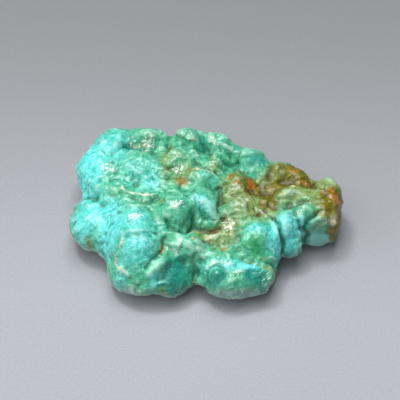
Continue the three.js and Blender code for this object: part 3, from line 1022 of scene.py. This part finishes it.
turquoise = Finish("turquoise")
where = turquoise.node("ShaderNodeTexCoord", out="Object")
blotch = turquoise.cloud(where, 3.2, detail=4.0, rough=0.6, bend=0.6)
mottle = turquoise.cloud(where, 1.0, detail=4.0, rough=0.6, bend=1.2)
speck = turquoise.cloud(where, 0.32, detail=2.0, rough=0.6)
combed = turquoise.node(
    "ShaderNodeMapping", {"vector_type": "TEXTURE"}, {"Vector": where, **COMBED}, out="Vector"
)
streak = turquoise.cloud(combed, 0.34, detail=2.0, rough=0.6, bend=0.5)
drift = turquoise.cloud(where, 2.2, rough=0.6, bend=1.0)
vein = 1 - turquoise.step((drift - 0.5) * (drift - 0.5), 0.0, VEIN_WIDTH)
unrest = (mottle - 0.5) * 0.6 + (blotch - 0.5) * 0.5
mottled = turquoise.step(mottle, 0.32, 0.68)
print("pattern nodes:", len(turquoise.tree.nodes))

# %% [markdown]
# The paints go on like glazes, each over the last. Sea green comes first, then sky blue, veins
# and pale mint, in some spots a painted highlight, and over them the dark greens, partly painted
# shade in the hollows. Iron follows, from olive to amber to rust, and then cream, in some spots a
# painted highlight, the break at the narrow end, painted lighter as painted light, and the grey
# edge, partly a painted reflection of the paper. Each paint is mottled between two shades, and the
# same clouds fray the edge of its mask. One colour ramp would be shorter, but a ramp can't let
# two minerals overlap.

# %% Paints of the minerals and of painted light
def paint(dark, light):
    return turquoise.blended(mottled, rgb(dark), rgb(light))


def covered(colour, patch, dark, light, low, high, fray=1.0):
    """The colour so far with one more paint over it, from a mask of low up to a full one of high.
    """
    share = turquoise.step(patch + unrest * fray, low, high)
    return turquoise.blended(share, colour, paint(dark, light))


blue, mint, deep, vivid = map(turquoise.mask, ("blue", "mint", "deep", "vivid"))
olive, amber, rust = map(turquoise.mask, ("olive", "amber", "rust"))
cream, dull, grey = map(turquoise.mask, ("cream", "dull", "grey"))

colour = covered(paint("389e72", "62bd93"), blue, "48c8c5", "76e5df", -0.1, 0.95)
colour = turquoise.blended(vein * VEIN_STRENGTH, colour, rgb("2f9c8e"))
# Pale mint, in some spots a painted highlight.
colour = covered(colour, mint, "7cd8b6", "aceccf", 0.15, 1.0)
# Darker greens, partly painted shade in the valleys and hollows.
colour = covered(colour, deep, "167668", "309c88", 0.1, 0.9, fray=0.6)
colour = covered(colour, vivid, "188048", "30a066", 0.1, 0.9, fray=0.6)
colour = covered(colour, olive, "5c7c38", "8ea466", 0.1, 1.0)
colour = covered(colour, amber, "464602", "7e7610", 0.2, 0.95)
colour = covered(colour, rust, "86500a", "b87c30", 0.25, 0.95, fray=1.2)
# Cream of quartz and clay, and in some spots a painted highlight where a glint falls.
cream_and_highlight_share = turquoise.step(cream + unrest * 0.7 + (speck - 0.5) * 0.6, 0.25, 0.95)
colour = turquoise.blended(cream_and_highlight_share, colour, rgb("d8d2ac"))
# The break at the narrow end, painted lighter as painted light on a face turned from the lamps.
colour = covered(colour, dull, "78cabc", "8ad8cc", 0.2, 0.9, fray=0.3)
# Grey-green along the low front edge, partly the stone's own colour and partly a painted
# reflection of the paper.
colour = covered(colour, grey, "6f9c8f", "9cbfb1", 0.1, 0.8, fray=0.5)
print("nodes with the paints:", len(turquoise.tree.nodes))

# %% [markdown]
# Wear and painted light work on all the minerals alike, so they come last: dark dirt and painted
# shade in the seams, greenish on the blue end and brown where there is iron, then paleness on the
# crests, partly rubbed wear and partly painted highlight, then the dashes of painted glint, and
# the pale rim at the foot, a painted reflection of the paper. Crests of dark minerals stay dark,
# because a pale edge there would look like dust.

# %% Wear, painted shade, painted highlights and painted rim light
DIRT_AND_SHADE, CREST_WEAR_AND_HIGHLIGHT, GLINT_PAINT, RIM_LIGHT_PAINT = 0.85, 0.3, 0.8, 0.8

spark, seam, crest, rim = map(turquoise.mask, ("spark", "seam", "crest", "rim"))
# Seams are painted dark: dirt and dark iron, and painted shade in the creases.
ironed = turquoise.step(olive + amber, 0.1, 0.8)
dirt_and_shade = turquoise.blended(ironed, rgb("1c6a50"), rgb("453c10"))
dirt_and_shade_share = turquoise.step(seam + (mottle - 0.5) * 0.3, 0.2, 1.0)
colour = turquoise.blended(dirt_and_shade_share * DIRT_AND_SHADE, colour, dirt_and_shade)
# Crests are painted pale, partly rubbed wear and partly painted highlight.
dark = amber + deep + vivid
rubbed_and_highlight = turquoise.step(crest + (speck - 0.5) * 0.5 - dark * 0.8, 0.3, 1.0)
colour = turquoise.blended(rubbed_and_highlight * CREST_WEAR_AND_HIGHLIGHT, colour, rgb("cdeedd"))
# Painted glints: white dashes where the glint spots meet the streak cloud.
glint_dashes = (streak - 0.5) * 1.1 + (mottle - 0.5) * 0.4
painted_glints = turquoise.step(spark * 0.36 - amber * 0.14 + glint_dashes, 0.22, 0.46)
colour = turquoise.blended(painted_glints * GLINT_PAINT, colour, rgb("f2f6e6"))
# Painted light: the low skin that faces down is painted pale, as a painted reflection of the
# paper.
colour = turquoise.blended(rim * RIM_LIGHT_PAINT, colour, rgb("bfdccd"))
turquoise.feed(Base_Color=colour)
print("nodes with the wear:", len(turquoise.tree.nodes))

# %% [markdown]
# The shine is waxy: tumbled turquoise takes a polish, but dirt, cream and iron stay duller. A
# thick clear coat would make it look varnished, so the coat is only a trace, and the shine is in
# the stone's own roughness. The ridges and dimples that break each highlight into glints go down
# to about 0.1 mm, which is finer than the skin's squares, so they are a bump.

# %% Shine of the turquoise
GLINT_RELIEF = 0.17 * MM

rough = 0.19 + (mottle - 0.5) * 0.3 + seam * 0.2 + cream * 0.1 + amber * 0.14 - spark * 0.08
peel = turquoise.cloud(where, 0.9, bend=0.4, kind="RIDGED_MULTIFRACTAL")
dimples = turquoise.cloud(where, 0.24, detail=2.0, rough=0.6, bend=0.5)
bump = turquoise.node(
    "ShaderNodeBump",
    values={"Strength": 0.9, "Distance": GLINT_RELIEF, "Height": peel * 0.8 + dimples * 0.45},
    out="Normal",
)
turquoise.feed(Roughness=turquoise.step(rough, 0.0, 1.0), Normal=bump, IOR=1.6)
turquoise.feed(Coat_Weight=0.04, Coat_Roughness=0.15, Coat_IOR=1.5)
print("the turquoise has", len(turquoise.tree.nodes), "nodes")

# %% [markdown]
# The stone rides on the only body, stands for the CAD node, which stays in the physics model,
# and takes the turquoise material.

# %% Stone into the frame
skin.materials.clear()
skin.materials.append(turquoise.material)
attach(stone, "root")
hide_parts("nugget")
print("the stone stands for the CAD node, with", len(skin.polygons), "squares")

# %% [markdown]
# ## The studio
#
# The stone lies on matt grey-white paper that darkens towards the back. A flat sheet of one grey
# would look painted, so the paper has that slow change of tone and a faint fibre. It could curve
# up behind the stone, as a studio sweep does, but then a view from behind would meet it.

# %% Paper floor
PAPER_HALF = 1.5
DARKENING_FROM, DARKENING_TO = -30 * MM, 70 * MM

paper = Finish("paper")
on_paper = paper.node("ShaderNodeTexCoord", out="Object")
depth = paper.node("ShaderNodeSeparateXYZ", values={"Vector": on_paper}, out="Y")
tint = paper.node(
    "ShaderNodeValToRGB",
    {"stops": [(0.0, rgb("9fa1a8")), (1.0, rgb("7b7d80"))]},
    {"Fac": paper.step(depth, DARKENING_FROM, DARKENING_TO)},
    out="Color",
)
fibre = paper.cloud(on_paper, 0.35, rough=0.7)
fibres = paper.blended(fibre, rgb("000000"), rgb("ffffff"))
paper.feed(Base_Color=paper.blended(0.22, tint, fibres, "OVERLAY"))
paper.feed(Roughness=0.85, Specular_IOR_Level=0.2)

sheet = bmesh.new()
bmesh.ops.create_grid(sheet, x_segments=1, y_segments=1, size=PAPER_HALF)
floor = placed("paper_floor", meshed(sheet, "paper_floor"))
floor.data.materials.append(paper.material)
print("the paper is", round(floor.dimensions.x, 2), "m wide")

# %% [markdown]
# From low down, the eye passes over the paper's far edge. A round plaster wall closes the view on
# every side, where one flat backdrop would close only one.

# %% Round wall
WALL_RADIUS = WALL_HEIGHT = 1.2

plaster = Finish("plaster")
plaster.feed(Base_Color=rgb("c4c6ca"), Roughness=0.9)
ring = bmesh.new()
bmesh.ops.create_cone(
    ring,
    segments=96,
    radius1=WALL_RADIUS,
    radius2=WALL_RADIUS,
    depth=WALL_HEIGHT,
    matrix=Matrix.Translation((0, 0, WALL_HEIGHT / 2)),
)
wall = placed("pale_wall", meshed(ring, "pale_wall"))
wall.data.materials.append(plaster.material)
print("the wall is", round(wall.dimensions.z, 2), "m high")

# %% [markdown]
# A wide ceiling lamp gives the soft, even light. Its reflection would lay a milky veil over the
# dark brown crest, so it is hidden from gloss, as a polarising filter would hide it. The sheen
# and the glints come from three smaller lamps that hang high behind the stone, and two weak lamps
# at the left and in front open the shadows. The room itself is nearly dark. A picture of a real
# room could light the stone too, but lamps need no file, and each can be set for its own glint.

# %% Lamps and room
# Each row is a name, a place, a width, a depth, watts, a colour, and if it shows in gloss.
LAMPS = [
    ("ceiling_lamp", (-0.05, 0.02, 0.62), 1.5, 0.45, 3.75, (1.0, 0.995, 0.99), False),
    ("sky_lamp", (-0.05, 0.08, 0.6), 0.34, 0.34, 1.5, (1.0, 0.995, 0.99), True),
    ("window_lamp", (-0.16, 0.16, 0.58), 0.10, 0.10, 1.25, (1.0, 0.99, 0.97), True),
    ("glint_lamp", (0.1, 0.22, 0.55), 0.06, 0.06, 0.35, (1.0, 1.0, 1.0), True),
    ("side_lamp", (-0.52, -0.1, 0.34), 0.6, 0.6, 1.5, (0.98, 0.99, 1.0), True),
    ("front_lamp", (-0.05, -0.52, 0.42), 0.4, 0.4, 0.3, (0.98, 0.99, 1.0), True),
]
ROOM_COLOUR, ROOM_LIGHT = (0.86, 0.90, 0.96, 1.0), 0.03

for name, place, width, depth, watts, tone, in_gloss in LAMPS:
    lamp = bpy.data.lights.new(name, "AREA")
    lamp.shape = "RECTANGLE"
    lamp.size, lamp.size_y = width, depth
    lamp.energy = watts
    lamp.color = tone
    held = placed(name, lamp)
    held.location = place
    held.rotation_euler = (-Vector(place)).to_track_quat("-Z", "Y").to_euler()
    held.visible_glossy = in_gloss

room = bpy.data.worlds.new("room")
room.use_nodes = True
background = room.node_tree.nodes["Background"]
background.inputs["Color"].default_value = ROOM_COLOUR
background.inputs["Strength"].default_value = ROOM_LIGHT
bpy.context.scene.world = room
bpy.context.scene.view_settings.view_transform = "Standard"
print(len(LAMPS), "lamps in a nearly dark room")
